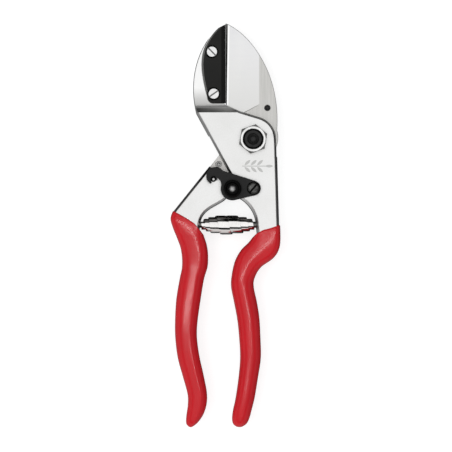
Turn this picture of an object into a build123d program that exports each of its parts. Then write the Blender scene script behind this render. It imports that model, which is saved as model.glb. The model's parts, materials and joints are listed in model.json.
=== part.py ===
from build123d import *

import os
from math import cos, hypot, pi, radians, sin

# Anvil pruner, closed and locked, lying on its back. Millimetres.
# The pivot axis is Z through the origin, +Y runs along the blade to its tip,
# and Z = 0 is the plane that the pivot bolt's head rests on.

# Heights of the layers, from the table up
BOSS_TOP = 1.3        # hexagonal boss of the bolt's head
HEAD_TOP = 2.95
REAR_BACK = 3.0       # back of the blade handle's plate
REAR_FRONT = 8.2      # front of that plate, which is the back of the blade
BLADE_FRONT = 11.4
PLATE_BACK = 11.5     # back of the anvil handle's plate
PLATE_FRONT = 16.7
LEFT_FACE = 15.8      # front of the blade handle below the pivot
JAW_FRONT = 11.8
ANVIL_SEAT = 7.3
ANVIL_FRONT = 12.3
CATCH_BACK = 17.2
CATCH_FRONT = 19.8
MIDDLE = (REAR_FRONT + BLADE_FRONT) / 2

# Fits
FIXED = 0.02          # radial gap of parts that stay together
RUNNING = 0.05        # radial gap of parts that turn
GAP = 0.3             # gap round a part in its recess

# Pivot
HUB = 12.9            # radius of the plates round the pivot
BOLT = 5.0
BUSH = 6.5
FLANGE = 8.0
FLANGE_TOP = 12.0
NUT_FLATS = 14.0
NUT_TURN = 20.0       # direction of one of the nut's corners
NUT_BOTTOM = 16.8
NUT_TOP = 20.8
BOLT_TOP = 20.2
TEETH = 28
TOOTH_TIP = 8.4
TOOTH_ROOT = 7.7
SEGMENT_ANGLE = 228.0
SEGMENT_SCREW = 13.3  # from the pivot

# Blade handle: radius outside which it is full depth, and its two straight sides
STEP = 27.7
OUTER_TOP = (-12.94, -1.22)
OUTER_END = (-43.2, -39.0)
INNER_TOP = (8.5, -9.85)
INNER_END = (-15.7, -33.4)

# Anvil and blade
EDGE_TOP = (-15.0, 62.4)      # line on which the blade meets the anvil
EDGE_BOTTOM = (-14.7, 19.7)
EDGE_GAP = 0.06
ANVIL_BEVEL = (2.2, 0.7)      # width and depth of the anvil's bevels along the blade
BEVEL = 3.4                   # X at which the blade starts to thin
ANVIL_SCREWS = ((-22.3, 47.6), (-21.3, 24.8))
SCREW = 1.6
BLADE_PIN = (7.8, 17.1)
BLADE_RIVETS = ((-18.6, -13.5), (-8.6, -15.2))
PIN = 1.5

# Spring, on an axis along X
SPRING_Y = -46.3
SPRING_ENDS = (-28.0, 0.8)
SPRING_WALL = 0.6
# (where the turn ends, its outer radius), from left to right
SPRING_TURNS = ((-25.6, 2.8), (-22.9, 3.8), (-18.3, 4.7), (-9.2, 5.4), (-4.4, 4.7), (-1.9, 3.7), (0.8, 2.8))
STUD = 1.7
STUD_LENGTH = 3.9             # that stands out of the handle

# Thumb catch
CATCH_PIVOT = (0.2, -26.6)
CATCH_LOBE = 3.95
CATCH_SHANK = 1.9
BUTTON = (-11.2, -26.9)
BUTTON_LOBE = 6.3
CATCH_PIN = (-21.5, -21.6)
CATCH_PIN_R = 1.57

# Grips, from the shoulder to the tip: a point on each side of the outline, then half the depth
RIGHT_GRIP = (
    ((0.3, -43.5), (14.2, -41.5), 7.6),
    ((0.9, -50.5), (14.4, -49.3), 7.8),
    ((-1.0, -54.2), (14.2, -55.2), 7.9),
    ((-4.2, -57.8), (13.0, -60.4), 7.85),
    ((-7.3, -61.2), (9.8, -65.3), 7.8),
    ((-9.6, -65.5), (4.2, -69.6), 7.5),
    ((-11.4, -72.5), (0.8, -75.6), 7.3),
    ((-11.95, -79.5), (0.5, -80.5), 7.1),
    ((-10.4, -88.0), (2.1, -88.0), 7.0),
    ((-8.6, -97.5), (3.5, -97.0), 6.9),
    ((-7.5, -108.0), (4.1, -108.0), 6.8),
    ((-7.0, -118.7), (4.3, -118.7), 6.7),
    ((-7.9, -129.5), (2.8, -129.0), 6.5),
    ((-9.5, -140.5), (1.0, -140.0), 6.3),
    ((-10.9, -147.0), (-0.6, -146.5), 5.9),
    ((-11.4, -151.5), (-1.8, -151.0), 5.2),
    ((-10.8, -154.5), (-3.3, -154.2), 4.0),
    ((-9.2, -156.3), (-5.2, -156.2), 2.2),
)
LEFT_GRIP = (
    ((-42.3, -36.0), (-26.6, -43.0), 7.5),
    ((-44.9, -42.3), (-27.2, -48.6), 7.7),
    ((-43.5, -48.0), (-26.6, -52.4), 7.7),
    ((-41.3, -53.5), (-25.2, -56.8), 7.6),
    ((-39.1, -60.0), (-24.4, -62.0), 7.5),
    ((-38.5, -68.5), (-24.6, -69.0), 7.3),
    ((-40.0, -76.5), (-26.6, -76.0), 7.1),
    ((-41.7, -87.0), (-28.5, -87.5), 7.0),
    ((-42.35, -98.5), (-30.1, -99.0), 6.9),
    ((-42.2, -108.0), (-30.4, -107.5), 6.8),
    ((-40.9, -118.5), (-29.1, -117.5), 6.7),
    ((-38.2, -128.5), (-26.9, -127.5), 6.5),
    ((-35.6, -138.0), (-25.0, -137.5), 6.3),
    ((-35.4, -144.0), (-25.2, -144.0), 6.0),
    ((-36.2, -150.0), (-27.0, -149.5), 5.2),
    ((-36.3, -154.2), (-30.0, -153.8), 3.8),
    ((-35.1, -156.5), (-32.3, -156.4), 2.0),
)
COAT = 1.3            # thickness of the dipped coating
DRAFT = 12.0          # slope of the forgings' sides, from their middle plane out
ROUNDING = 0.5        # of the forgings' edges
# Corner radius of a grip's section as a share of its smaller side: at the shoulder, growing by, up to
CORNERS = (0.15, 0.03, 0.36)
# Edge of the coating on each handle
RIGHT_DIP = ((20.0, -43.5), (14.2, -46.3), (9.8, -47.9), (5.4, -49.0), (1.9, -50.8), (-3.0, -56.0))
LEFT_DIP = ((-50.0, -37.5), (-42.2, -39.7), (-35.3, -43.0), (-31.2, -45.8), (-28.6, -49.2), (-22.0, -58.0))


def outline(*edges):
    """Face inside a closed chain of edges."""
    return make_face(Curve() + list(edges))


def disc(centre, radius):
    return Pos(*centre) * Circle(radius)


def slab(sketch, low, high):
    """Sketch on the XY plane, raised into a solid between two heights."""
    return Pos(0, 0, low) * extrude(sketch, high - low, dir=(0, 0, 1))


def rod(centre, radius, low, high):
    return slab(disc(centre, radius), low, high)


def turned(profile, centre=(0, 0)):
    """Solid of revolution about Z from (radius, height) points."""
    face = make_face(Plane.XZ * Polyline(*profile, close=True))
    return Pos(*centre, 0) * revolve(face, Axis.Z)


def bar(start, end, radius):
    """Round bar between two points in space."""
    along = Vector(*end) - Vector(*start)
    return extrude(Plane(origin=start, z_dir=along) * Circle(radius), along.length)


def polar(radius, angle):
    return (radius * cos(radians(angle)), radius * sin(radians(angle)))


def edges_at(solid, height, keep=lambda p: True):
    """Edges of a solid that lie at one height, where keep allows."""
    found = []
    for edge in solid.edges():
        box = edge.bounding_box()
        if abs(box.min.Z - height) < 1e-4 and abs(box.max.Z - height) < 1e-4 and keep(edge @ 0.5):
            found.append(edge)
    return found


def forged(sketch, low, high, keep=lambda p: True):
    """Forging with sides that slope from the middle plane to both faces, and rounded edges."""
    halves = []
    for height in (high, low):
        up = 1 if height > MIDDLE else -1
        half = extrude(Pos(0, 0, MIDDLE) * sketch, abs(height - MIDDLE), dir=(0, 0, up), taper=DRAFT)
        halves.append(fillet(edges_at(half, height, keep), ROUNDING))
    return halves[0] + halves[1]


def grip_form(stations, inset):
    """Loft through the grip's sections, made smaller by inset on every side."""
    start, growth, most = CORNERS
    sections = []
    for index, ((ax, ay), (bx, by), half_depth) in enumerate(stations):
        width = hypot(bx - ax, by - ay) - 2 * inset
        depth = 2 * (half_depth - inset)
        if min(width, depth) < 1:
            continue
        across = Vector(bx - ax, by - ay, 0).normalized()
        place = Plane(
            origin=((ax + bx) / 2, (ay + by) / 2, MIDDLE),
            x_dir=across,
            z_dir=across.cross(Vector(0, 0, 1)),
        )
        share = min(start + growth * index, most)
        sections.append(place * RectangleRounded(width, depth, share * min(width, depth)))
    return loft(sections)


def above_dip(dip):
    """Region of the XY plane on the metal side of the coating's edge."""
    first, last = dip[0], dip[-1]
    return outline(Spline(*dip), Polyline(first, (first[0], -20), (last[0], -20), last))


def stud_hole(first, last):
    return bar((first, SPRING_Y, MIDDLE), (last, SPRING_Y, MIDDLE), STUD + FIXED)


def coating(stations, dip, handle):
    """Dipped coating over a handle, clear of the holes for the spring's studs."""
    form = grip_form(stations, 0) - slab(above_dip(dip), -5, 25) - handle
    return form - stud_hole(-33.5, 6.0)


def tang(stations, dip):
    """Bare core of a grip, below the coating's edge only."""
    shift = Pos(0, -2.5)
    return grip_form(stations, COAT) - slab(shift * above_dip(dip), -5, 25)


def jaw_curve():
    """Outside of the anvil jaw, from its tip to the shoulder of the plate."""
    return Spline((-15.4, 62.2), (-23.9, 55.0), (-30.1, 43.0), (-32.5, 26.0), (-30.8, 13.7))


def anvil_outline(grow):
    """Anvil seen from the front. Grow widens it on the sides that the jaw encloses."""
    corner = ((-24.6 - grow, 22.6), (-23.7 - grow * 0.7, 20.6 - grow * 0.7), (-21.6, EDGE_BOTTOM[1] - grow))
    back = Spline((-18.6 - grow, 60.6), (-23.7 - grow, 54.6), (-27.1 - grow, 46.5), (-27.0 - grow, 33.0), corner[0])
    return outline(
        Line(EDGE_TOP, (-18.6 - grow, 60.6)),
        back,
        ThreePointArc(*corner),
        Polyline(corner[2], (EDGE_BOTTOM[0], EDGE_BOTTOM[1] - grow), EDGE_TOP),
    )


def blade_side():
    """What must stay clear behind the anvil handle's plate, for the blade and its handle to turn."""
    (ix, iy), (ex, ey), shift = INNER_TOP, INNER_END, 0.5
    swept = Polyline(
        (-15.6, 80), (-15.6, 4.9), (-23.6, 1.8), (-60, -12.4), (-60, -70), (ex - 22, ey - 20),
        (ex + shift, ey - shift), (ix + shift, iy - shift), (30, iy + 4), (30, 80), close=True,
    )
    return make_face(swept) + disc((0, 0), HUB + 0.7)


def anvil_handle():
    """Forged handle with the jaw, the plate over the pivot and the tang of the right grip."""
    silhouette = outline(
        jaw_curve(),
        Polyline((-30.8, 13.7), (-14.0, -17.1), (-9.3, -25.5), (-7.6, -32.1)),
        ThreePointArc((-7.6, -32.1), (-1.4, -37.8), (1.5, -47.0)),
        Polyline((1.5, -47.0), (2.0, -51.5), (3.2, -54.6), (9.0, -55.0), (13.4, -52.5), (14.3, -49.0), (12.9, 0.0)),
        RadiusArc((12.9, 0.0), polar(HUB, 72.6), -HUB),
        Polyline(polar(HUB, 72.6), (-7.2, 15.7), (-15.1, 19.3), (-15.4, 62.2)),
    )
    body = forged(silhouette, REAR_BACK, PLATE_FRONT)

    # Jaw: set back behind a cove, with a seat for the anvil
    cove = 5.6
    body -= Pos(-10, 20.0, JAW_FRONT + cove) * Rot(0, 90, 0) * Cylinder(cove, 100)
    body -= slab(Pos(-20, 50) * Rectangle(60, 60), JAW_FRONT, 30)
    body -= slab(anvil_outline(GAP), ANVIL_SEAT, 30)

    body -= slab(blade_side(), 0, PLATE_BACK)
    body += tang(RIGHT_GRIP, RIGHT_DIP)
    body -= rod((0, 0), BUSH + FIXED, 0, 30) + rod((0, 0), FLANGE + FIXED, 0, FLANGE_TOP)
    body -= rod(CATCH_PIVOT, SCREW + FIXED, 8.0, 30)
    for screw in ANVIL_SCREWS:
        body -= rod(screw, SCREW + FIXED, 0, ANVIL_SEAT + 1)
    body -= stud_hole(-5.0, 6.0)
    return body - sprig()


def sprig():
    """Leaf sprig sunk into the plate below the nut."""
    leaf = make_face(ThreePointArc((0, 0), (2.1, 0.75), (4.2, 0)) + ThreePointArc((4.2, 0), (2.1, -0.75), (0, 0)))
    stem = Pos(0.6, -14.6) * Rectangle(13.0, 0.45)
    leaves = [
        Pos(x, -14.6 + side * 0.5) * Rot(0, 0, side * 42) * leaf
        for x in (-4.6, -1.2, 2.2)
        for side in (1, -1)
    ]
    return slab(Sketch() + [stem, Pos(6.6, -14.6) * leaf] + leaves, PLATE_FRONT - 0.25, 30)


def lower_silhouette():
    """Blade handle below the pivot, seen from the front."""
    return outline(
        Polyline(OUTER_TOP, OUTER_END, (-43.0, -41.9), (-42.8, -45.6), (-39.2, -50.6), (-31.0, -54.8), (-28.2, -52.4)),
        Spline((-28.2, -52.4), (-28.5, -44.8), (-26.4, -40.6), (-21.7, -36.9), INNER_END),
        Line(INNER_END, INNER_TOP),
        Line(INNER_TOP, OUTER_TOP),
    )


def blade_handle():
    """Forged handle with the plate behind the blade and the tang of the left grip."""
    carrier = outline(
        Line(polar(HUB, 140), (-3.6, 16.0)),
        Line((-3.6, 16.0), (4.2, 20.6)),
        Line((4.2, 20.6), (4.2, 28.0)),
        ThreePointArc((4.2, 28.0), (6.6, 31.6), (10.2, 28.6)),
        Spline((10.2, 28.6), (12.0, 20.0), polar(HUB, 20)),
        RadiusArc(polar(HUB, 20), polar(HUB, 140), HUB),
    )
    plate = slab(disc((0, 0), HUB) + carrier, REAR_BACK, REAR_FRONT)
    plate = chamfer(edges_at(plate, REAR_BACK), ROUNDING)
    body = forged(lower_silhouette(), REAR_BACK, LEFT_FACE) - rod((0, 0), STEP, REAR_FRONT, 30) + plate
    body += tang(LEFT_GRIP, LEFT_DIP)
    body -= rod((0, 0), BOLT + FIXED, 0, 30)
    for place in (BLADE_PIN, *BLADE_RIVETS):
        body -= rod(place, PIN + FIXED, 0, 30)
    body -= rod(polar(SEGMENT_SCREW, SEGMENT_ANGLE), PIN + FIXED, 0, 7.0)
    body -= rod(CATCH_PIN, CATCH_PIN_R + FIXED, 9.0, 30)
    body -= stud_hole(-33.5, -20.0)
    return body


def blade():
    """Straight double-bevelled blade, with its root round the pivot and its tail along the handle."""
    tx, ty = EDGE_TOP
    lean = (EDGE_BOTTOM[0] - tx) / (EDGE_BOTTOM[1] - ty)

    def edge_x(y):
        return tx + EDGE_GAP + (y - ty) * lean

    tip = (edge_x(63.3), 63.3)
    heel = (edge_x(11.5), 11.5)
    tail = outline(
        Polyline(OUTER_TOP, (-30.0, -24.1), (-17.0, -33.2), INNER_TOP),
        Line(INNER_TOP, OUTER_TOP),
    )
    body = outline(
        Spline(tip, (-5.6, 57.1), (1.9, 48.45), (8.8, 35.4), (12.3, 22.4), (13.1, 5.0)),
        RadiusArc((13.1, 5.0), (0, -HUB), 13.9),
        RadiusArc((0, -HUB), OUTER_TOP, HUB),
        Polyline(OUTER_TOP, heel, tip),
    )
    solid = slab(body + (tail & disc((0, 0), STEP - 0.2)) + disc((0, 0), HUB), REAR_FRONT, BLADE_FRONT)
    half = BLADE_FRONT - MIDDLE
    for side in (1, -1):
        sections = []
        for y, facet in ((0.0, 0.2), (66.0, 1.3)):
            x = edge_x(y)
            points = (
                (BEVEL, half), (x + facet, 0.1 + 0.22 * facet), (x, 0.0), (x - 2, 0.0), (x - 2, half + 1), (BEVEL, half + 1),
            )
            sections.append(make_face(Polyline(*[(px, y, MIDDLE + side * pz) for px, pz in points], close=True)))
        ground = loft(sections, ruled=True)
        kept = make_face(Polyline((BEVEL, 80), (BEVEL, 19.2), (-20, 6.3), (-20, 80), close=True))
        solid -= ground & slab(kept, 0, 30)
    solid -= rod((0, 0), BOLT + FIXED, 0, 30)
    for place in (BLADE_PIN, *BLADE_RIVETS):
        solid -= rod(place, PIN + FIXED, 0, 30)
    return solid


def flush_pin(place, low, high):
    """Pin through the blade and its handle, with a hollow in its front end."""
    hollow = Pos(*place, high + 1.6) * Sphere(1.95)
    return rod(place, PIN, low, high) - hollow


def anvil():
    body = slab(anvil_outline(0), ANVIL_SEAT, ANVIL_FRONT)
    body = chamfer(edges_at(body, ANVIL_FRONT, lambda p: p.X < -24.5), 0.8)
    width, depth = ANVIL_BEVEL
    x = EDGE_TOP[0] + 0.5
    for face, up in ((ANVIL_FRONT, 1), (ANVIL_SEAT, -1)):
        corner = ((x - 0.5 - width, 0, face), (x, 0, face - up * depth * 1.2), (x, 0, face))
        wedge = extrude(make_face(Polyline(*corner, close=True)), 80, dir=(0, 1, 0))
        body -= wedge
    for screw in ANVIL_SCREWS:
        body -= rod(screw, SCREW + FIXED, 0, 30) + rod(screw, 3.65, 9.7, 30)
    return body


def slotted_screw(centre, head, head_low, head_top, shank, shank_low, slot, angle):
    """Cheese-headed screw with a straight slot."""
    edge = 0.25
    body = turned(
        ((0, head_low), (head, head_low), (head, head_top - edge), (head - edge, head_top), (0, head_top)), centre
    )
    body += rod(centre, shank, shank_low, head_low + 0.1)
    groove = Pos(*centre, head_top) * Rot(0, 0, angle) * Box(3 * head, slot, 1.5)
    return body - groove


def toothed(grow):
    """Toothed rim of the bolt's head."""
    points = []
    for tooth in range(TEETH):
        angle = 360 * tooth / TEETH
        for share, radius in ((0.0, TOOTH_TIP), (0.18, TOOTH_TIP), (0.5, TOOTH_ROOT), (0.68, TOOTH_ROOT)):
            points.append(polar(radius + grow, angle + share * 360 / TEETH))
    return make_face(Polyline(*points, close=True))


def pivot_bolt():
    body = slab(RegularPolygon(6.5, 6, major_radius=False), 0, BOSS_TOP)
    body += slab(toothed(0), BOSS_TOP, HEAD_TOP)
    body += turned(((0, 2), (BOLT, 2), (BOLT, BOLT_TOP - 0.4), (BOLT - 0.4, BOLT_TOP), (0, BOLT_TOP)))
    return body - Pos(0, 0, BOLT_TOP + 2.6) * Sphere(4.1)


def pivot_nut():
    corner = NUT_FLATS / 2 / cos(pi / 6)
    flat = 6.7
    body = slab(Rot(0, 0, NUT_TURN) * RegularPolygon(corner, 6), NUT_BOTTOM, NUT_TOP)
    cone = ((0, 0), (corner + 0.1, 0), (corner + 0.1, NUT_TOP - 0.8), (flat, NUT_TOP), (0, NUT_TOP))
    body = body & turned(cone)
    bore = ((0, 0), (BOLT + FIXED, 0), (BOLT + FIXED, NUT_TOP - 0.5), (BOLT + 0.5, NUT_TOP), (0, NUT_TOP))
    return body - turned(bore)


def pivot_bush():
    bore = BOLT + RUNNING
    low = BLADE_FRONT + 0.05
    return turned(((bore, low), (FLANGE, low), (FLANGE, FLANGE_TOP - FIXED), (BUSH, FLANGE_TOP - FIXED),
                   (BUSH, PLATE_FRONT), (bore, PLATE_FRONT)))


def lock_segment():
    """Toothed plate that keeps the bolt's head from turning."""
    body = Rot(0, 0, SEGMENT_ANGLE) * Pos(11.8, 0) * RectangleRounded(9.4, 9.0, 2.0)
    body = slab(body - toothed(0.08), 1.5, HEAD_TOP)
    return body - rod(polar(SEGMENT_SCREW, SEGMENT_ANGLE), PIN + FIXED, 0, 5)


def segment_screw():
    place = polar(SEGMENT_SCREW, SEGMENT_ANGLE)
    body = rod(place, 2.7, 0.5, 1.45) + rod(place, PIN, 1, 6.6)
    return body - Pos(*place, 0.5) * Rot(0, 0, 20) * Box(8, 0.8, 1.0)


def spring_stud(handle_end, free_end):
    body = bar((handle_end, SPRING_Y, MIDDLE), (free_end, SPRING_Y, MIDDLE), STUD)
    return chamfer(body.edges().filter_by(GeomType.CIRCLE), 0.3)


def spring():
    """Double volute of strip, widest in the middle, as a stepped sleeve."""
    sleeve = None
    start = SPRING_ENDS[0]
    for end, radius in SPRING_TURNS:
        turn = bar((start, SPRING_Y, MIDDLE), (end, SPRING_Y, MIDDLE), radius)
        turn -= bar((start, SPRING_Y, MIDDLE), (end, SPRING_Y, MIDDLE), radius - SPRING_WALL * 2.2)
        sleeve = turn if sleeve is None else sleeve + turn
        start = end
    bore = bar((SPRING_ENDS[0], SPRING_Y, MIDDLE), (SPRING_ENDS[1], SPRING_Y, MIDDLE), 2.8 - SPRING_WALL)
    return sleeve - bore


def thumb_catch():
    """Lever with a hook over the catch pin, a lobe for the button and a lobe on its own screw."""
    arm = outline(
        Spline((-22.9, -24.1), (-25.2, -21.4), (-24.3, -16.9), (-21.2, -15.2), (-16.3, -17.2)),
        Polyline((-16.3, -17.2), (-11.9, -18.5), (1.4, -22.7), CATCH_PIVOT, BUTTON, (-17.4, -26.0)),
        Spline((-17.4, -26.0), (-17.6, -23.0), (-19.7, -20.9)),
        ThreePointArc((-19.7, -20.9), (-21.9, -19.75), (-23.3, -21.6)),
        Line((-23.3, -21.6), (-22.3, -23.5)),
        Line((-22.3, -23.5), (-22.9, -24.1)),
    )
    lobes = make_hull((disc(BUTTON, BUTTON_LOBE) + disc(CATCH_PIVOT, CATCH_LOBE)).edges())
    body = slab(arm + lobes, CATCH_BACK, CATCH_FRONT)
    body -= rod(CATCH_PIVOT, CATCH_SHANK + RUNNING, 0, 30) + rod(CATCH_PIVOT, 3.6, 18.5, 30)
    return body - rod(BUTTON, 1.2 + FIXED, 0, 30)


def thumb_knob():
    """Dished button on the lever."""
    low, top = CATCH_FRONT, CATCH_FRONT + 3.6
    return turned(
        ((1.2 + FIXED, low), (4.9, low), (4.9, low + 0.6), (4.7, top - 0.5), (4.3, top), (4.1, top), (3.6, top - 0.5),
         (3.1, low + 1.4), (1.2 + FIXED, low + 1.4)),
        BUTTON,
    )


def knob_rivet():
    floor = CATCH_FRONT + 1.4
    dome = Pos(*BUTTON, floor) * (Pos(0, 0, -0.5) * Sphere(2.2) & Pos(0, 0, 5) * Box(10, 10, 10))
    return rod(BUTTON, 1.2, CATCH_BACK, floor + 0.1) + dome


def catch_pin():
    body = rod(CATCH_PIN, CATCH_PIN_R, 9.5, LEFT_FACE + 1.0)
    return fillet(edges_at(body, LEFT_FACE + 1.0), 0.7)


def catch_screw():
    """Round-headed screw with a shoulder that the lever turns on."""
    head = turned(((0, 18.55), (3.4, 18.55), (3.4, 19.1), (3.0, 19.5), (2.3, 19.8), (1.3, 19.97), (0, 20.0)), CATCH_PIVOT)
    body = head + rod(CATCH_PIVOT, CATCH_SHANK, PLATE_FRONT, 18.6) + rod(CATCH_PIVOT, SCREW, 9.0, PLATE_FRONT + 0.1)
    return body - Pos(*CATCH_PIVOT, 20.0) * Rot(0, 0, 49) * Box(10, 1.0, 1.5)


def catch_washer():
    return rod(CATCH_PIVOT, 3.9, PLATE_FRONT, CATCH_BACK - 0.05) - rod(CATCH_PIVOT, CATCH_SHANK + FIXED, 0, 30)


def anvil_screws():
    upper, lower = ANVIL_SCREWS
    return [
        slotted_screw(place, 2.95, 9.7, 11.9, SCREW, REAR_BACK + 0.6, 0.8, angle)
        for place, angle in ((upper, -45), (lower, 35))
    ]


def main():
    os.makedirs("parts", exist_ok=True)
    right, left = anvil_handle(), blade_handle()
    parts = {
        "anvil_handle": right,
        "right_grip": coating(RIGHT_GRIP, RIGHT_DIP, right),
        "blade_handle": left,
        "left_grip": coating(LEFT_GRIP, LEFT_DIP, left),
        "blade": blade(),
        "blade_pin": flush_pin(BLADE_PIN, REAR_BACK, BLADE_FRONT - 0.05),
        "blade_rivets": [flush_pin(place, REAR_BACK, BLADE_FRONT - 0.05) for place in BLADE_RIVETS],
        "anvil": anvil(),
        "anvil_screws": anvil_screws(),
        "pivot_bolt": pivot_bolt(),
        "pivot_nut": pivot_nut(),
        "pivot_bush": pivot_bush(),
        "lock_segment": lock_segment(),
        "segment_screw": segment_screw(),
        "left_stud": spring_stud(-33.0, SPRING_ENDS[0] + STUD_LENGTH),
        "right_stud": spring_stud(5.5, SPRING_ENDS[1] - STUD_LENGTH),
        "spring": spring(),
        "thumb_catch": thumb_catch(),
        "thumb_knob": thumb_knob(),
        "knob_rivet": knob_rivet(),
        "catch_pin": catch_pin(),
        "catch_screw": catch_screw(),
        "catch_washer": catch_washer(),
    }
    for name, shape in parts.items():
        if isinstance(shape, list):
            shape = Compound(children=shape)
        export_step(shape, f"parts/{name}.step")
        print(name, len(shape.solids()), round(shape.volume, 1), shape.is_valid)


main()
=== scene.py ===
import json
from math import cos, pi, radians, sin

import bmesh
import bpy
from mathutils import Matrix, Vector


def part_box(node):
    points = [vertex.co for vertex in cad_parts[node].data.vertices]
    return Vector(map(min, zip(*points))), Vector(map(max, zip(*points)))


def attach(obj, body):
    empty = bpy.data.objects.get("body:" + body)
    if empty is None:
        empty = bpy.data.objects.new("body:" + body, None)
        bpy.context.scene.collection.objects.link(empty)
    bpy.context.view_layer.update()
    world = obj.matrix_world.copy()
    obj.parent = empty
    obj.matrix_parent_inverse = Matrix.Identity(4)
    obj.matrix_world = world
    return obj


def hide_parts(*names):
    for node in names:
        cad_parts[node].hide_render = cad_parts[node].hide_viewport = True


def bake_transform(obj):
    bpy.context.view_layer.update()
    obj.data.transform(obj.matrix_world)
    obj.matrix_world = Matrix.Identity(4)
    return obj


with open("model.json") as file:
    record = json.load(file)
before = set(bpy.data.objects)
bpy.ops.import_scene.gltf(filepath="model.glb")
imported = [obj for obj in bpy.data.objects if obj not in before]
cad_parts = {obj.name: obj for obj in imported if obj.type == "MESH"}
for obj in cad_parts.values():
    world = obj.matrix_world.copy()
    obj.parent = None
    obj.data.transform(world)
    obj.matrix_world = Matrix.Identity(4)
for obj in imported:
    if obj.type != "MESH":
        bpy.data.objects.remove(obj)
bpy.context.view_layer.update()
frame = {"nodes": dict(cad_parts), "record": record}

# Anvil pruner, closed and locked, lying on its back. +Y runs to the blade's tip, +Z is up.
# Lengths in the tables and in the materials' ranges are millimetres, and MM makes metres of them.
MM = 0.001
NODES = frame["nodes"]
RECORD = frame["record"]
BODY = {node: body for body, nodes in RECORD["behaviour"]["bodies"].items() for node in nodes}

EDGE_X = -15.0              # the cutting edge
BEVEL_X = 3.4               # where the blade starts to thin
BEVEL_FOOT = (19.2, 0.55)   # Y at BEVEL_X where the ground face ends, and how that rises with X
CATCH_PIN = (-21.5, -21.6)  # its centre in plan
PLATE_TOP = 16.6            # height of the handles' upper face
MIDDLE = 9.8                # height of the grips' middle plane


# ---------------------------------------------------------------- camera, floor and light

def camera():
    data = bpy.data.cameras.new("camera")
    data.lens, data.sensor_width = 234.9, 36.0
    data.clip_start, data.clip_end = 0.05, 20.0
    view = bpy.data.objects.new("camera", data)
    view.location = (-14.65 * MM, -47.0 * MM, 1.612)
    bpy.context.scene.collection.objects.link(view)
    bpy.context.scene.camera = view


def floor(half=2.5):
    """Pale floor that only the camera sees, so that it adds no light of its own to the tool."""
    mesh = bpy.data.meshes.new("floor")
    corners = [(-half, -half, 0), (half, -half, 0), (half, half, 0), (-half, half, 0)]
    mesh.from_pydata(corners, [], [(0, 1, 2, 3)])
    plane = bpy.data.objects.new("floor", mesh)
    bpy.context.scene.collection.objects.link(plane)
    look = bpy.data.materials.new("floor")
    look.use_nodes = True
    shader = look.node_tree.nodes["Principled BSDF"]
    settings = {"Base Color": (0.40, 0.40, 0.40, 1), "Roughness": 0.9, "Specular IOR Level": 0.0,
                "Emission Color": (1, 1, 1, 1), "Emission Strength": 0.78}
    for name, value in settings.items():
        shader.inputs[name].default_value = value
    mesh.materials.append(look)
    plane.visible_glossy = plane.visible_diffuse = False


coated = bpy.data.collections.new("coated")   # what the long strips light: the grips


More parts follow.
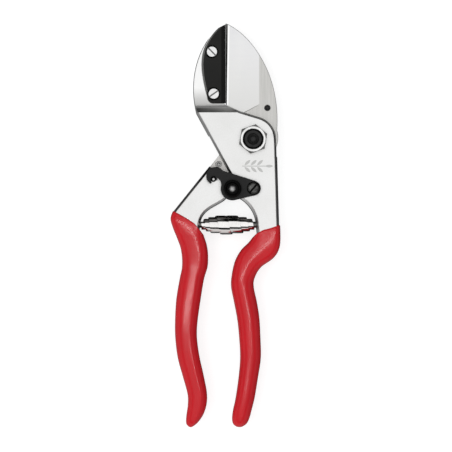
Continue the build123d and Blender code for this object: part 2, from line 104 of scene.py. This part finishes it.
def studio():
    """White dome overhead with a dark gap round it, a grey band low down all round, and a paler one
    at the grips' end."""
    scene = bpy.context.scene
    scene.view_settings.view_transform = "Standard"
    scene.view_settings.look = "None"
    world = scene.world = bpy.data.worlds.new("studio")
    world.use_nodes = True
    tree = world.node_tree
    tree.nodes.clear()
    join = tree.links.new

    def node(kind, *sources, **settings):
        made = tree.nodes.new(kind)
        for key, value in settings.items():
            setattr(made, key, value)
        for socket, source in zip(made.inputs, sources):
            if isinstance(source, bpy.types.NodeSocket):
                join(source, socket)
            elif source is not None:
                socket.default_value = source
        return made

    def math(operation, *values):
        return node("ShaderNodeMath", *values, operation=operation).outputs[0]

    def ramp(value, stops):
        """Tone at a value from -1 to 1."""
        made = node("ShaderNodeValToRGB", math("MULTIPLY_ADD", value, 0.5, 0.5))
        elements = made.color_ramp.elements
        while len(elements) < len(stops):
            elements.new(0.5)
        for element, (at, tone) in zip(elements, stops):
            element.position = (at + 1) / 2
            element.color = (tone, tone, tone, 1)
        return made.outputs["Color"]

    # A direction's height is z; how much it faces the grips' end is the cosine in plan
    end_x, end_y, smallest = -0.35, -0.94, 0.0004
    x, y, z = node("ShaderNodeSeparateXYZ", node("ShaderNodeTexCoord").outputs["Generated"]).outputs
    level = math("SQRT", math("MAXIMUM", math("SUBTRACT", 1.0, math("MULTIPLY", z, z)), smallest))
    towards_end = math("ADD", math("MULTIPLY", x, end_x), math("MULTIPLY", y, end_y))
    facing = math("DIVIDE", towards_end, level)
    dome = ramp(z, ((0.72, 0.0), (0.79, 1.08)))
    band = ramp(z, ((-0.75, 0.012), (-0.45, 0.15), (0.05, 0.20), (0.2, 0.60), (0.46, 0.66), (0.56, 0.02)))
    low = ramp(z, ((-0.96, 0.55), (-0.8, 0.8), (-0.5, 1.0), (0.15, 1.0), (0.25, 0.5), (0.45, 0.5),
                   (0.55, 0.05)))
    side = ramp(facing, ((-0.15, 0.0), (0.35, 0.28), (0.9, 0.60)))
    light = math("ADD", math("ADD", dome, band), math("MULTIPLY", low, side))
    lit = node("ShaderNodeBackground", light)
    pale = node("ShaderNodeBackground", (0.95, 0.95, 0.95, 1))
    seen = node("ShaderNodeLightPath").outputs["Is Camera Ray"]
    join(node("ShaderNodeMixShader", seen, lit.outputs[0], pale.outputs[0]).outputs[0],
         node("ShaderNodeOutputWorld").inputs["Surface"])

    def area(name, place, size, power, aim=(0, -0.05, 0)):
        data = bpy.data.lights.new(name, "AREA")
        data.shape, data.size, data.size_y, data.energy = "RECTANGLE", size[0], size[1], power
        lamp = bpy.data.objects.new(name, data)
        lamp.location = place
        lamp.rotation_euler = (Vector(aim) - Vector(place)).to_track_quat("-Z", "Y").to_euler()
        scene.collection.objects.link(lamp)
        return lamp

    # Broad key from the left, and two long strips overhead that only the coated grips pick up
    area("key", (-0.75, -0.1, 1.15), (0.9, 0.9), 4.5).visible_glossy = False
    for name, x, width, power in (("crest_strip", -0.02, 0.05, 8.0), ("left_strip", -0.38, 0.12, 1.4)):
        lamp = area(name, (x, -0.1, 1.5), (width, 1.5), power, (x * 0.3, -0.1, 0))
        lamp.visible_camera = lamp.visible_diffuse = False
        lamp.light_linking.receiver_collection = coated


# ---------------------------------------------------------------- materials

def grey(tone):
    return (tone, tone, tone)


class Look:
    """Procedural material on one Principled shader, in the object's own coordinates."""

    def __init__(self, name, **settings):
        self.material = bpy.data.materials.new(name)
        self.material.use_nodes = True
        self.tree = self.material.node_tree
        self.shader = self.tree.nodes["Principled BSDF"]
        for key, value in settings.items():
            self.shader.inputs[key.replace("_", " ")].default_value = value
        self.place = self.node("ShaderNodeTexCoord").outputs["Object"]

    def node(self, kind, **settings):
        made = self.tree.nodes.new(kind)
        for key, value in settings.items():
            setattr(made, key, value)
        return made

    def feed(self, socket, value):
        if isinstance(value, bpy.types.NodeSocket):
            self.tree.links.new(value, socket)
        else:
            socket.default_value = value

    def noise(self, scale, stretch=(1, 1, 1), detail=3.0, roughness=0.55, seed=0.0):
        mapping = self.node("ShaderNodeMapping")
        mapping.inputs["Scale"].default_value = stretch
        mapping.inputs["Location"].default_value = (seed, seed * 0.7, seed * 0.3)
        self.feed(mapping.inputs["Vector"], self.place)
        texture = self.node("ShaderNodeTexNoise")
        self.feed(texture.inputs["Vector"], mapping.outputs[0])
        texture.inputs["Scale"].default_value = scale
        texture.inputs["Detail"].default_value = detail
        texture.inputs["Roughness"].default_value = roughness
        return texture.outputs["Fac"]

    def math(self, operation, a, b=0.0):
        made = self.node("ShaderNodeMath", operation=operation)
        self.feed(made.inputs[0], a)
        self.feed(made.inputs[1], b)
        return made.outputs[0]

    def weighted(self, a, weight_a, b, weight_b):
        """Sum of two values, each times its weight."""
        return self.math("ADD", self.math("MULTIPLY", a, weight_a), self.math("MULTIPLY", b, weight_b))

    def all_of(self, *masks):
        """Product of several masks."""
        value = masks[0]
        for mask in masks[1:]:
            value = self.math("MULTIPLY", value, mask)
        return value

    def span(self, value, low, high, to_low=0.0, to_high=1.0, smooth=False):
        """Value carried from the range low to high over to the range to_low to to_high."""
        made = self.node("ShaderNodeMapRange", interpolation_type="SMOOTHSTEP" if smooth else "LINEAR")
        for socket, number in zip(made.inputs, (value, low, high, to_low, to_high)):
            self.feed(socket, number)
        return made.outputs[0]

    def span_mm(self, value, low, high, *ends, **settings):
        """The same for a length, with low and high in millimetres."""
        return self.span(value, low * MM, high * MM, *ends, **settings)

    def mix(self, factor, a, b):
        made = self.node("ShaderNodeMix", data_type="RGBA", blend_type="MIX")
        self.feed(made.inputs["Factor"], factor)
        for socket, colour in ((made.inputs[6], a), (made.inputs[7], b)):
            self.feed(socket, colour if isinstance(colour, bpy.types.NodeSocket) else (*colour, 1))
        return made.outputs[2]

    def parts(self, vector):
        split = self.node("ShaderNodeSeparateXYZ")
        self.feed(split.inputs[0], vector)
        return split.outputs

    def axes(self):
        return self.parts(self.place)

    def normals(self):
        return self.parts(self.place.node.outputs["Normal"])

    def radius(self, x, y, centre):
        """Distance in plan from a centre in millimetres."""
        dx = self.math("SUBTRACT", x, centre[0] * MM)
        dy = self.math("SUBTRACT", y, centre[1] * MM)
        return self.math("SQRT", self.math("ADD", self.math("POWER", dx, 2.0), self.math("POWER", dy, 2.0)))

    def colour(self, value):
        self.feed(self.shader.inputs["Base Color"], value)

    def rough(self, value):
        self.feed(self.shader.inputs["Roughness"], value)

    def relief(self, height, depth):
        bump = self.node("ShaderNodeBump")
        bump.inputs["Strength"].default_value = 1.0
        bump.inputs["Distance"].default_value = depth * MM
        self.feed(bump.inputs["Height"], height)
        self.feed(self.shader.inputs["Normal"], bump.outputs["Normal"])


def metal(name, dark, light, rough, grain=1500, stretch=(1, 1, 1), mottle=70, depth=0.01):
    """Bare or blackened metal: slow mottling, fine grain in one direction and a matching relief."""
    look = Look(name, Metallic=1.0)
    slow = look.span(look.noise(mottle, detail=4), 0.3, 0.7)
    fine = look.noise(grain, stretch, detail=4, roughness=0.65, seed=0.013)
    look.tone = look.mix(look.weighted(slow, 0.55, look.span(fine, 0.3, 0.7), 0.45), dark, light)
    look.colour(look.tone)
    look.rough(look.span(look.weighted(fine, 1.0, slow, 0.4), 0.4, 1.0, *rough))
    look.relief(fine, depth)
    return look


def rubbery(name, dark, light, rough, specular, depth):
    """Moulded or dipped plastic: slow mottling, fine unevenness in gloss and in relief."""
    look = Look(name, Specular_IOR_Level=specular)
    slow = look.span(look.noise(45, detail=3), 0.3, 0.7)
    fine = look.noise(900, detail=3, seed=0.021)
    look.colour(look.mix(look.weighted(slow, 0.7, fine, 0.3), dark, light))
    look.rough(look.span(fine, 0.3, 0.7, *rough))
    look.relief(look.weighted(fine, 0.4, look.noise(160, detail=2, seed=0.05), 1.0), depth)
    return look


def forged_alloy():
    """Satin forging, with painted highlights on the jaw and on the arch's wall, and painted shade on its
    flanks, in the cove, on its walls, round the catch pin, at the arch's foot and in its leaf sprig."""
    look = metal("forged_alloy", (0.71, 0.71, 0.70), (0.86, 0.86, 0.855), (0.28, 0.38), grain=1600,
                 mottle=55, depth=0.006)
    x, y, z = look.axes()
    across, upward, level = look.normals()
    span, slant, all_of, mix = look.span_mm, look.span, look.all_of, look.mix

    # Painted highlight: lighter on the jaw, fading out towards the cove
    tone = mix(span(y, 20, 27, smooth=True), look.tone, (0.88, 0.88, 0.875))
    # Painted shade on the flanks below the jaw's upper face
    tone = mix(all_of(span(y, 28, 19), span(z, 12.8, 12.4)), tone, (0.50, 0.50, 0.49))
    # Cove under the jaw: painted shade, darkest at its left end and lighter to the right, and less metallic
    cove = all_of(span(z, 12.0, 12.9, smooth=True), span(z, PLATE_TOP + 0.06, PLATE_TOP),
                  span(y, 14.2, 14.4), span(y, 20.5, 19.6))
    tone = mix(cove, tone, mix(span(x, -30, -15), (0.035, 0.035, 0.034), (0.26, 0.26, 0.25)))
    look.feed(look.shader.inputs["Metallic"], slant(cove, 0, 1, 1.0, 0.1))
    # Wall over the blade, and wall over the blade's tail: painted shadow, on the tail's wall growing darker
    # towards its lower end
    high = span(z, 11.45, 11.55)
    outward = look.math("MAXIMUM", upward, all_of(across, span(y, -4, 1)))
    wall = all_of(slant(outward, 0.25, 0.45), high, span(x, -12, -8), span(y, 22, 20.5))
    tone = mix(wall, tone, grey(0.012))
    heel = all_of(slant(across, -0.45, -0.6), high, span(y, 16, 8), span(y, -25, -22), span(x, -2, -3))
    tone = mix(heel, tone, mix(span(y, 2, -16), (0.5, 0.5, 0.49), grey(0.06)))
    # Painted shadow in a ring round the catch pin, on its upper side
    pin_y = CATCH_PIN[1]
    ring = all_of(span(look.radius(x, y, CATCH_PIN), 2.6, 2.0), span(y, pin_y - 1.2, pin_y - 0.4))
    tone = mix(ring, tone, grey(0.05))
    # The wall inside the handles' arch: painted shade at its foot and a painted highlight above it
    arch = all_of(span(y, -52, -50), span(y, -27, -29), span(x, -33, -31), span(x, 0.5, -1.0))
    steep = all_of(arch, slant(look.math("ABSOLUTE", level), 0.6, 0.4))
    tone = mix(steep, tone, mix(span(z, 11.4, 12.8), (0.16, 0.16, 0.155), (0.97, 0.97, 0.96)))
    # Floor of the leaf sprig, painted darker as shade in the engraving
    cut = all_of(span(z, PLATE_TOP + 0.06, PLATE_TOP - 0.02), span(z, 16.38, 16.42),
                 span(y, -18.4, -18.2), span(y, -10.9, -11.1), span(x, -7, -6.8), span(x, 11.4, 11.2))
    look.colour(mix(cut, tone, (0.52, 0.52, 0.51)))
    return look


def blade_steel():
    """Ground faces on both sides of the edge, with a narrow honed strip drawn dark and a painted highlight
    beside it, painted shade towards the heel, and a darker face brushed along the blade."""
    look = Look("blade_steel", Metallic=1.0)
    x, y, _ = look.axes()
    mix, span = look.mix, look.span_mm
    streaks = look.noise(900, (1, 0.03, 1), detail=4, roughness=0.7)
    cross = look.noise(700, (0.05, 1, 1), detail=3, roughness=0.6, seed=0.03)
    slow = look.span(look.noise(40, (1, 0.3, 1), detail=3, seed=0.2), 0.3, 0.7)

    flat = mix(look.span(streaks, 0.3, 0.7), (0.52, 0.52, 0.50), (0.64, 0.635, 0.615))
    flat = mix(look.math("MULTIPLY", slow, 0.35), flat, (0.66, 0.63, 0.61))
    ground = mix(look.span(look.weighted(cross, 0.4, slow, 0.6), 0.2, 0.8),
                 (0.70, 0.70, 0.72), (0.77, 0.77, 0.765))
    ground = mix(look.math("MULTIPLY", span(x, EDGE_X, BEVEL_X), 0.5), ground, (0.80, 0.80, 0.795))
    # Painted shade: the ground face darker towards the heel
    ground = mix(span(y, 50, 16, 0.0, 0.8), ground, (0.66, 0.66, 0.645))
    # Distance from the honed strip's inner side, which nears the edge towards the heel
    narrowing, strip_width = 0.0165, 0.42
    inner_side = look.math("ADD", look.math("MULTIPLY", y, narrowing), (EDGE_X + strip_width) * MM)
    strip = look.math("SUBTRACT", x, inner_side)
    # Painted highlight: a bright band along the honed strip's inner side; the strip itself dark
    ground = mix(span(strip, 1.1, 0.5), ground, grey(0.97))
    ground = mix(span(strip, 0.05, -0.05), ground, (0.20, 0.20, 0.195))
    # Where the ground face ends, towards the heel and at the bevel's line
    foot, slope = BEVEL_FOOT
    rise = look.math("MULTIPLY", look.math("SUBTRACT", x, BEVEL_X * MM), slope)
    past = look.math("SUBTRACT", y, look.math("ADD", rise, foot * MM))
    mask = look.math("MULTIPLY", span(past, -0.5, 0.5, smooth=True),
                     span(x, BEVEL_X + 0.3, BEVEL_X - 0.3, smooth=True))
    look.colour(mix(mask, flat, ground))
    look.rough(look.span(mask, 0, 1, 0.40, 0.28))
    look.relief(streaks, 0.004)
    return look


def anvil_black():
    """Blackened anvil, with painted shade along the blade and a painted reflection on its back edge's
    slope.
    """
    look = Look("anvil_black", Specular_IOR_Level=0.2)
    x, _, _ = look.axes()
    across, _, _ = look.normals()
    slow = look.span(look.noise(60, detail=4), 0.3, 0.7)
    fine = look.noise(2200, detail=3)
    tone = look.mix(slow, (0.0075, 0.0075, 0.007), (0.0125, 0.0125, 0.0115))
    # Painted shade along the blade
    tone = look.mix(look.span_mm(x, -17.4, -17.0), tone, grey(0.0008))
    # Painted reflection on the slope that faces -X, broken up by noise
    painted_reflection = look.math("MULTIPLY", look.span(across, -0.35, -0.6), look.span(fine, 0.25, 0.55, 0.5, 1.0))
    look.colour(look.mix(painted_reflection, tone, (0.16, 0.16, 0.155)))
    look.rough(look.span(fine, 0.3, 0.7, 0.42, 0.6))
    look.relief(fine, 0.01)
    return look


def slotted(name, tones, slot_floor=None, line=None, dark=grey(0.16)):
    """Screw steel with painted shade in the slot: below a height, or along a line (x, y, angle, half
    width).
    """
    look = metal(name, *tones, (0.2, 0.34), mottle=300)
    x, y, z = look.axes()
    if slot_floor:
        clear = look.span_mm(z, slot_floor - 0.3, slot_floor)
    else:
        centre_x, centre_y, angle, half = line
        across = look.weighted(look.math("SUBTRACT", x, centre_x * MM), -sin(radians(angle)),
                               look.math("SUBTRACT", y, centre_y * MM), cos(radians(angle)))
        clear = look.span_mm(look.math("ABSOLUTE", across), half, half + 0.05)
    look.colour(look.mix(clear, dark, look.tone))
    return look


def pin_steel():
    """Blackened pin with a painted highlight near the middle of its head."""
    look = metal("pin_steel", grey(0.006), grey(0.02), (0.24, 0.36), mottle=420, depth=0.008)
    x, y, _ = look.axes()
    radius = look.radius(x, y, (CATCH_PIN[0] + 0.1, CATCH_PIN[1] - 0.1))
    look.colour(look.mix(look.span_mm(radius, 0.75, 0.35), look.tone, (0.62, 0.62, 0.61)))
    return look


def nut_steel():
    """Bright top ring, near-black within it and darker at the corners."""
    look = metal("nut_steel", (0.62, 0.62, 0.61), (0.93, 0.93, 0.92), (0.2, 0.32), grain=1200,
                 mottle=320, depth=0.012)
    x, y, _ = look.axes()
    uneven = look.math("MULTIPLY", look.math("SUBTRACT", look.noise(700, detail=2), 0.5), 0.6 * MM)
    ragged_radius = look.math("ADD", look.radius(x, y, (0, 0)), uneven)
    tone = look.mix(look.span_mm(ragged_radius, 5.62, 5.75), grey(0.03), look.tone)
    look.colour(look.mix(look.span_mm(ragged_radius, 6.85, 7.0), tone, (0.34, 0.34, 0.33)))
    return look


def polished_strip():
    """Polished spring strip with painted reflections by facing: dark towards +Y, and towards -Y a dark
    line, a pinkish painted reflection of the red grips beyond it and dark again furthest round.
    """
    look = metal("polished_strip", (0.72, 0.70, 0.69), (0.90, 0.89, 0.88), (0.06, 0.13), grain=1800,
                 stretch=(1, 0.2, 0.2), mottle=150, depth=0.002)
    _, side, _ = look.normals()
    # Painted reflections, by which way the strip faces in Y
    tone = look.mix(look.span(side, 0.36, 0.42), look.tone, (0.20, 0.19, 0.185))
    tone = look.mix(look.span(side, -0.45, -0.55), tone, (0.66, 0.62, 0.61))
    upper_line = look.all_of(look.span(side, -0.27, -0.30), look.span(side, -0.46, -0.43))
    tone = look.mix(upper_line, tone, grey(0.03))
    look.colour(look.mix(look.span(side, -0.80, -0.87), tone, grey(0.03)))
    return look


def assign(piece, look):
    if not piece.material_slots:
        piece.data.materials.append(None)
    for slot in piece.material_slots:
        slot.link = "OBJECT"
        slot.material = look.material


# ---------------------------------------------------------------- meshes

def cleaned(node):
    """Copy of a CAD node's mesh with its seams joined and slivers dissolved."""
    mesh = NODES[node].data.copy()
    for name in ("custom_normal", "UVMap"):
        if name in mesh.attributes:
            mesh.attributes.remove(mesh.attributes[name])
    work = bmesh.new()
    work.from_mesh(mesh)
    bmesh.ops.remove_doubles(work, verts=work.verts, dist=0.002 * MM)
    bmesh.ops.dissolve_degenerate(work, dist=0.001 * MM, edges=work.edges)
    for part in (*work.edges, *work.faces):
        part.smooth = True
    work.to_mesh(mesh)
    work.free()
    return mesh


def woven(name, points, faces, crease=None):
    """Mesh of points in millimetres, shaded smooth up to the crease angle in degrees."""
    mesh = bpy.data.meshes.new(name)
    mesh.from_pydata([Vector(point) * MM for point in points], [], faces)
    work = bmesh.new()
    work.from_mesh(mesh)
    bmesh.ops.recalc_face_normals(work, faces=work.faces)
    for face in work.faces:
        face.smooth = True
    if crease:
        for edge in work.edges:
            edge.smooth = edge.calc_face_angle(0) < radians(crease)
    work.to_mesh(mesh)
    work.free()
    return mesh


def stand_in(name, mesh, node):
    """Piece that rides on the node's body and takes the node's place."""
    piece = bpy.data.objects.new(name, mesh)
    bpy.context.scene.collection.objects.link(piece)
    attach(piece, BODY[node])
    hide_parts(node)
    return piece


def softened(node, width, segments=3, angle=32, sharpest=130, clamp=True):
    """Stand-in for a CAD node, shaded smoothly across its small facets, and with a width given, its
    edges between the two angles rounded."""
    mesh = cleaned(node)
    if width:
        flat = radians(0.6)
        work = bmesh.new()
        work.from_mesh(mesh)
        bmesh.ops.dissolve_limit(work, angle_limit=flat, verts=work.verts, edges=work.edges)
        weights = work.edges.layers.float.new("bevel_weight_edge")
        for edge in work.edges:
            edge[weights] = float(radians(angle) < edge.calc_face_angle(0) < radians(sharpest))
        work.to_mesh(mesh)
        work.free()
    mesh.set_sharp_from_angle(angle=radians(angle))
    piece = stand_in(node + "_body", mesh, node)
    if width:
        bevel = piece.modifiers.new("edges", "BEVEL")
        bevel.width = width * MM
        bevel.segments = segments
        bevel.limit_method = "WEIGHT"
        bevel.use_clamp_overlap = clamp
        normals = piece.modifiers.new("normals", "WEIGHTED_NORMAL")
        normals.weight = 100
        normals.keep_sharp = True
    return piece


def along(knots, t):
    """Value at t on straight runs through (t, value) knots, carried on past both ends."""
    for (t0, v0), (t1, v1) in zip(knots, knots[1:]):
        if t <= t1 or (t1, v1) == knots[-1]:
            return v0 + (v1 - v0) * (t - t0) / (t1 - t0)


def eased(values, t):
    """Point at t on a smooth curve through evenly spaced values."""
    last = len(values) - 1
    i = min(int(t), last - 1)
    f = t - i
    a, b, c, d = (values[min(max(k, 0), last)] for k in (i - 1, i, i + 1, i + 2))
    squared, cubed = 2 * a - 5 * b + 4 * c - d, 3 * b - 3 * c + d - a
    return 0.5 * (2 * b + (c - a) * f + squared * f * f + cubed * f ** 3)


# Stations of the grips, from the shoulder to the tip: a point on each side of the outline, then half
# the depth
RIGHT_GRIP = (
    ((0.3, -43.5), (14.2, -41.5), 7.6),
    ((0.9, -50.5), (14.9, -49.5), 7.8),
    ((-2.0, -55.5), (14.5, -58.4), 7.9),
    ((-6.3, -59.8), (11.2, -64.4), 7.8),
    ((-9.6, -65.5), (4.2, -69.6), 7.5),
    ((-11.4, -72.5), (0.8, -75.6), 7.3),
    ((-11.95, -79.5), (0.5, -80.5), 7.1),
    ((-10.4, -88.0), (2.1, -88.0), 7.0),
    ((-8.6, -97.5), (3.5, -97.0), 6.9),
    ((-7.5, -108.0), (4.1, -108.0), 6.8),
    ((-7.0, -118.7), (4.3, -118.7), 6.7),
    ((-7.9, -129.5), (2.8, -129.0), 6.5),
    ((-9.5, -140.5), (1.0, -140.0), 6.3),
    ((-10.9, -147.0), (-0.6, -146.5), 5.9),
    ((-11.4, -151.5), (-1.8, -151.0), 5.2),
    ((-10.8, -154.5), (-3.3, -154.2), 4.0),
    ((-8.9, -156.05), (-5.6, -155.95), 1.8),
)
LEFT_GRIP = (
    ((-42.1, -36.2), (-26.6, -43.0), 7.5),
    ((-44.75, -42.4), (-27.2, -48.6), 7.7),
    ((-43.5, -48.0), (-26.6, -52.4), 7.7),
    ((-41.3, -53.5), (-25.2, -56.8), 7.6),
    ((-39.1, -60.0), (-24.4, -62.0), 7.5),
    ((-38.5, -68.5), (-24.6, -69.0), 7.3),
    ((-40.0, -76.5), (-26.6, -76.0), 7.1),
    ((-41.7, -87.0), (-28.5, -87.5), 7.0),
    ((-42.35, -98.5), (-30.1, -99.0), 6.9),
    ((-42.2, -108.0), (-30.4, -107.5), 6.8),
    ((-40.9, -118.5), (-29.1, -117.5), 6.7),
    ((-38.2, -128.5), (-26.9, -127.5), 6.5),
    ((-35.6, -138.0), (-25.0, -137.5), 6.3),
    ((-35.4, -144.0), (-25.2, -144.0), 6.0),
    ((-36.2, -150.0), (-27.0, -149.5), 5.2),
    ((-36.3, -154.2), (-30.0, -153.8), 3.8),
    ((-34.8, -156.1), (-32.7, -156.0), 1.6),
)
# Lines (x, y) where the coating starts
RIGHT_DIP = ((-3.0, -56.0), (1.9, -50.8), (5.4, -49.0), (9.8, -47.9), (14.2, -46.3), (20.0, -43.5))
LEFT_DIP = ((-50.0, -36.4), (-43.4, -38.3), (-41.6, -39.5), (-35.3, -43.0), (-31.2, -45.8),
            (-28.6, -49.2), (-22.0, -58.0))
# Profile of the lip on that line: how far back and how far inward, from its inner end
LIP = ((0.8, 1.6), (0.75, 0.9), (0.55, 0.38), (0.25, 0.10), (0.0, 0.0))
SHOULDER_POWER, SHAFT_POWER = 4.6, 2.7  # how square a section is, at the shoulder and further on
SHAFT_STATION = 6                       # from this station on
CREST_FALL, FALL_FROM, FALL_TO = 0.19, 1, 5  # how far a top falls from its crest, growing between stations
CREST_BLUNT = 0.008                     # how rounded the crest is


def grip(node, stations, dip, crest):
    """Coated grip: a crowned section with a soft crest, carried along the stations and ended in a
    rounded lip on the dip line. The crest's place is from -1 to 1 across the section."""
    around, per_station, crowding, halvings, tip_reach = 80, 7, 0.35, 18, 0.35
    ends = len(stations) - 1
    steps = ends * per_station
    columns = list(zip(*((*left, *right, deep) for left, right, deep in stations)))

    def place(t, a):
        """Point of the outside at station t and angle a."""
        left_x, left_y, right_x, right_y, deep = (eased(column, t) for column in columns)
        power = SHOULDER_POWER - (SHOULDER_POWER - SHAFT_POWER) * min(t / SHAFT_STATION, 1)
        fall = CREST_FALL * min(max(t - FALL_FROM, 0) / (FALL_TO - FALL_FROM), 1)
        u = abs(cos(a)) ** (2 / power) * (1 if cos(a) > 0 else -1)
        v = abs(sin(a)) ** (2 / power) * (1 if sin(a) > 0 else -1)
        reach = (1 + crest) if u < crest else (1 - crest)
        v *= 1 - fall * (((u - crest) ** 2 + CREST_BLUNT) ** 0.5 - CREST_BLUNT ** 0.5) / reach
        return Vector(((left_x + right_x + u * (right_x - left_x)) / 2,
                       (left_y + right_y + u * (right_y - left_y)) / 2, MIDDLE + v * deep))

    def coated_at(t, a):
        point = place(t, a)
        return point.y < along(dip, point.x)

    rows = []
    for k in range(around):
        # Closer together over the crest, where the section bends most
        a = 2 * pi * k / around
        a += crowding * sin(2 * a)
        # Start where the line crosses the dip, found by halving
        first = next((i for i in range(steps + 1) if coated_at(ends * i / steps, a)), 0)
        bare, start = ends * max(first - 1, 0) / steps, ends * first / steps
        for _ in range(halvings):
            half = (bare + start) / 2
            bare, start = (bare, half) if coated_at(half, a) else (half, start)
        rows.append([place(start + (ends - start) * i / steps, a) for i in range(steps + 1)])

    points, faces = [], []
    centre = sum((row[0] for row in rows), Vector()) / around
    for row in rows:
        inward = (centre - row[0]).normalized()
        back = (row[0] - row[1]).normalized()
        points.extend(row[0] + inward * under + back * (over - LIP[0][0]) for over, under in LIP)
        points.extend(row[1:])
    line = len(LIP) + steps
    tip = len(points)
    last = [points[k * line + line - 1] for k in range(around)]
    points.append(sum(last, Vector()) / around - Vector((0, tip_reach, 0)))
    for k in range(around):
        p, q = k * line, (k + 1) % around * line
        faces.extend((p + i, p + i + 1, q + i + 1, q + i) for i in range(line - 1))
        faces.append((p + line - 1, tip, q + line - 1))
    piece = stand_in(node + "_coat", woven(node + "_coat", points, faces), node)
    coated.objects.link(piece)
    level = piece.modifiers.new("smooth", "SUBSURF")
    level.levels = level.render_levels = 1
    return piece


def volute():
    """Strip wound into a double volute, each turn tucked under its thicker neighbour."""
    low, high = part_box("spring")
    axis_y, axis_z = (low[1] + high[1]) / 2 / MM, (low[2] + high[2]) / 2 / MM
    start, end = low[0] / MM, high[0] / MM
    # By turn: the strip's left rim, its right rim and its outer radius
    left = ((0.5, start), (1.5, -25.4), (2.5, -22.9), (3.5, -17.6), (4.0, -14.4), (4.5, -12.3),
            (5.5, -6.3), (6.5, -2.7))
    right = ((0.5, -24.5), (1.5, -22.0), (2.5, -16.7), (3.0, -14.6), (3.5, -11.4), (4.5, -5.4),
             (5.5, -1.8), (6.5, end))
    radius = ((0.5, 2.75), (1.5, 3.7), (2.5, 4.6), (3.5, 5.37), (4.5, 4.7), (5.5, 3.7), (6.5, 2.75))
    thickness, rounding, on_stud = 0.55, 0.12, 3
    first_turn, last_turn, per_turn, across = 0.15, 6.85, 72, 6
    steps = int((last_turn - first_turn) * per_turn)
    inner, row = across + 1, 2 * (across + 1)
    points, faces = [], []
    for step in range(steps + 1):
        t = first_turn + (last_turn - first_turn) * step / steps
        a, b = max(along(left, t), start), min(along(right, t), end)
        outside = along(radius, t)
        for face_radius, into in ((outside, -1), (outside - thickness, 1)):
            for i in range(across + 1):
                r = face_radius + (into * rounding if i in (0, across) else 0)
                points.append((a + (b - a) * i / across, axis_y + r * cos(2 * pi * t),
                               axis_z + r * sin(2 * pi * t)))
    for p in range(0, steps * row, row):
        q = p + row
        for i in range(across):
            faces.append((p + i, q + i, q + i + 1, p + i + 1))
            faces.append((p + inner + i, p + inner + i + 1, q + inner + i + 1, q + inner + i))
        faces.append((p, p + inner, q + inner, q))
        faces.append((p + across, q + across, q + row - 1, p + row - 1))
    for i in range(across):
        q = steps * row + i
        faces.append((i, i + 1, inner + i + 1, inner + i))
        faces.append((q + inner, q + inner + 1, q + 1, q))
    piece = bpy.data.objects.new("spring_strip", woven("spring_strip", points, faces, crease=35))
    bpy.context.scene.collection.objects.link(piece)
    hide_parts("spring")
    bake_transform(piece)
    return piece


# ---------------------------------------------------------------- the pruner

camera()
floor()
studio()

LOOKS = {
    anvil_black(): ("anvil",),
    slotted("anvil_screw", (grey(0.62), grey(0.92)), slot_floor=11.6): ("anvil_screws",),
    slotted("catch_screw", (grey(0.01), (0.17, 0.17, 0.165)), line=(0.2, -26.6, 49, 0.5),
            dark=grey(0.004)): ("catch_screw",),
    nut_steel(): ("pivot_nut",),
    metal("black_oxide", grey(0.012), grey(0.05), (0.28, 0.42), grain=1800,
          mottle=260): ("pivot_bolt", "blade_pin", "catch_washer"),
    metal("rivet_steel", (0.36, 0.36, 0.35), (0.56, 0.56, 0.55), (0.3, 0.42),
          mottle=420): ("blade_rivets",),
    metal("dark_steel", grey(0.06), (0.22, 0.22, 0.21), (0.22, 0.36),
          mottle=420): ("lock_segment", "segment_screw", "left_stud", "right_stud"),
    pin_steel(): ("catch_pin",),
    metal("rivet_head", grey(0.40), (0.62, 0.62, 0.61), (0.42, 0.50), mottle=420,
          depth=0.006): ("knob_rivet",),
    metal("bronze", (0.40, 0.25, 0.11), (0.52, 0.34, 0.16), (0.3, 0.45), depth=0.006): ("pivot_bush",),
}
for look, nodes in LOOKS.items():
    for node in nodes:
        assign(NODES[node], look)

vinyl = rubbery("dipped_vinyl", (0.57, 0.016, 0.023), (0.65, 0.019, 0.027), (0.14, 0.18), 0.16, 0.001)
assign(grip("right_grip", RIGHT_GRIP, RIGHT_DIP, 0.05), vinyl)
assign(grip("left_grip", LEFT_GRIP, LEFT_DIP, 0.36), vinyl)
assign(volute(), polished_strip())
alloy = forged_alloy()
for node in ("anvil_handle", "blade_handle"):
    assign(softened(node, 0), alloy)
assign(softened("blade", 0.3, segments=2, angle=50, sharpest=120, clamp=False), blade_steel())
assign(softened("thumb_catch", 0.3),
       rubbery("black_lever", grey(0.0045), grey(0.009), (0.34, 0.46), 0.26, 0.012))
assign(softened("thumb_knob", 0.15),
       rubbery("black_knob", grey(0.001), grey(0.003), (0.34, 0.45), 0.06, 0.01))
